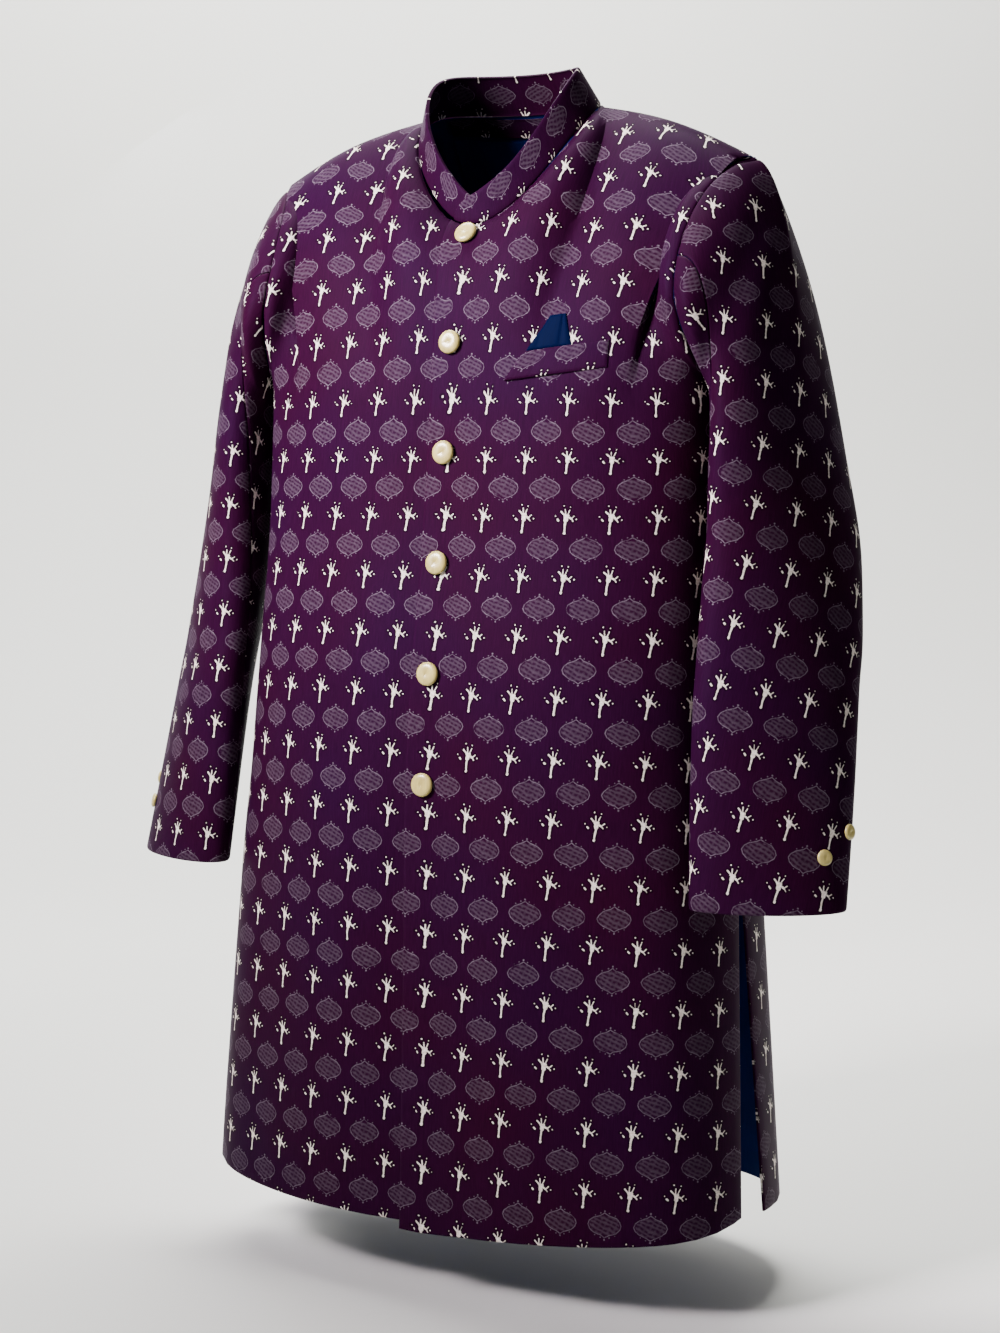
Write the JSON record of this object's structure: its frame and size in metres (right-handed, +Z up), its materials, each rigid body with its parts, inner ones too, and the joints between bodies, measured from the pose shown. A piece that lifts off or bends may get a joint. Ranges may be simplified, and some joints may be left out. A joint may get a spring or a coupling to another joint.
{
  "type": "sherwani",
  "caption": "Long fitted coat with a band collar, buttoned down the front, in purple floral brocade, with side slits, slim sleeves and a breast pocket; filled out as worn",
  "frame": {"origin": "The middle of the neck, level with the inner ends of the shoulder seams, where the wearer's neck and shoulders hold the coat", "axes": "+X is the wearer's left, +Y is the wearer's back, +Z is up"},
  "size_m": [0.689, 0.2948, 0.9865],
  "materials": {
    "brocade": "satin-ground jacquard",
    "lining": "plain satin",
    "horn": "polished cream horn"
  },
  "bodies": {
    "root": {"front_left": "brocade", "front_right": "brocade", "back": "brocade", "sleeve_left_top": "brocade", "sleeve_left_under": "brocade", "sleeve_right_top": "brocade", "sleeve_right_under": "brocade", "collar": "brocade", "back_neck_facing": "brocade", "back_lining": "lining", "pocket_welt": "brocade", "pocket_square": "lining", "button_front_1": "horn", "button_front_2": "horn", "button_front_3": "horn", "button_front_4": "horn", "button_front_5": "horn", "button_front_6": "horn", "button_cuff_left_upper": "horn", "button_cuff_left_lower": "horn", "button_cuff_right_upper": "horn", "button_cuff_right_lower": "horn"}
  },
  "joints": []
}
